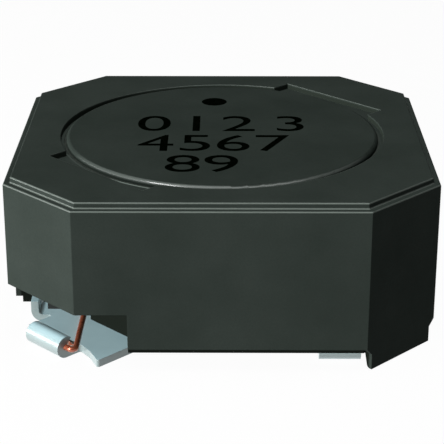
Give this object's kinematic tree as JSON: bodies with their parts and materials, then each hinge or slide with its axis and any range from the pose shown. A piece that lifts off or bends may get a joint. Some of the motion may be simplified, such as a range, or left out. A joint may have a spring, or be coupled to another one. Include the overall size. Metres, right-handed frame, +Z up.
{
  "type": "shielded smd inductor",
  "caption": "Low octagonal surface-mount power inductor: wound ferrite drum in a ferrite shield ring on folded sheet terminals.",
  "frame": {"origin": "centre of the underside, on the circuit board's surface", "axes": "+Z up from the board, -Y out of the wide wall between the two front corners, +X to its right; the part repeats after half a turn about Z"},
  "size_m": [0.0104, 0.0104, 0.0042],
  "materials": {
    "ferrite_ring": "fired ferrite, dark grey, fine matte grain with polished edges",
    "ferrite_drum": "fired ferrite, ground flat, fine matte grain",
    "enamelled_copper": "copper wire under clear enamel",
    "tinned_sheet": "matte tin plate on bronze sheet, rolled, sheared edges",
    "solder": "solidified solder, satin",
    "marking": "matte black print",
    "adhesive": "cured dark epoxy"
  },
  "bodies": {
    "root": {"shield_ring": "ferrite_ring", "drum_core": "ferrite_drum", "winding": "enamelled_copper", "gap_bond": "adhesive", "terminal_left": "tinned_sheet", "terminal_right": "tinned_sheet", "solder_left": "solder", "solder_right": "solder", "drum_bond_left": "adhesive", "drum_bond_right": "adhesive", "arm_bond_left": "adhesive", "arm_bond_right": "adhesive", "rail_bond_left": "adhesive", "rail_bond_right": "adhesive"}
  },
  "joints": []
}
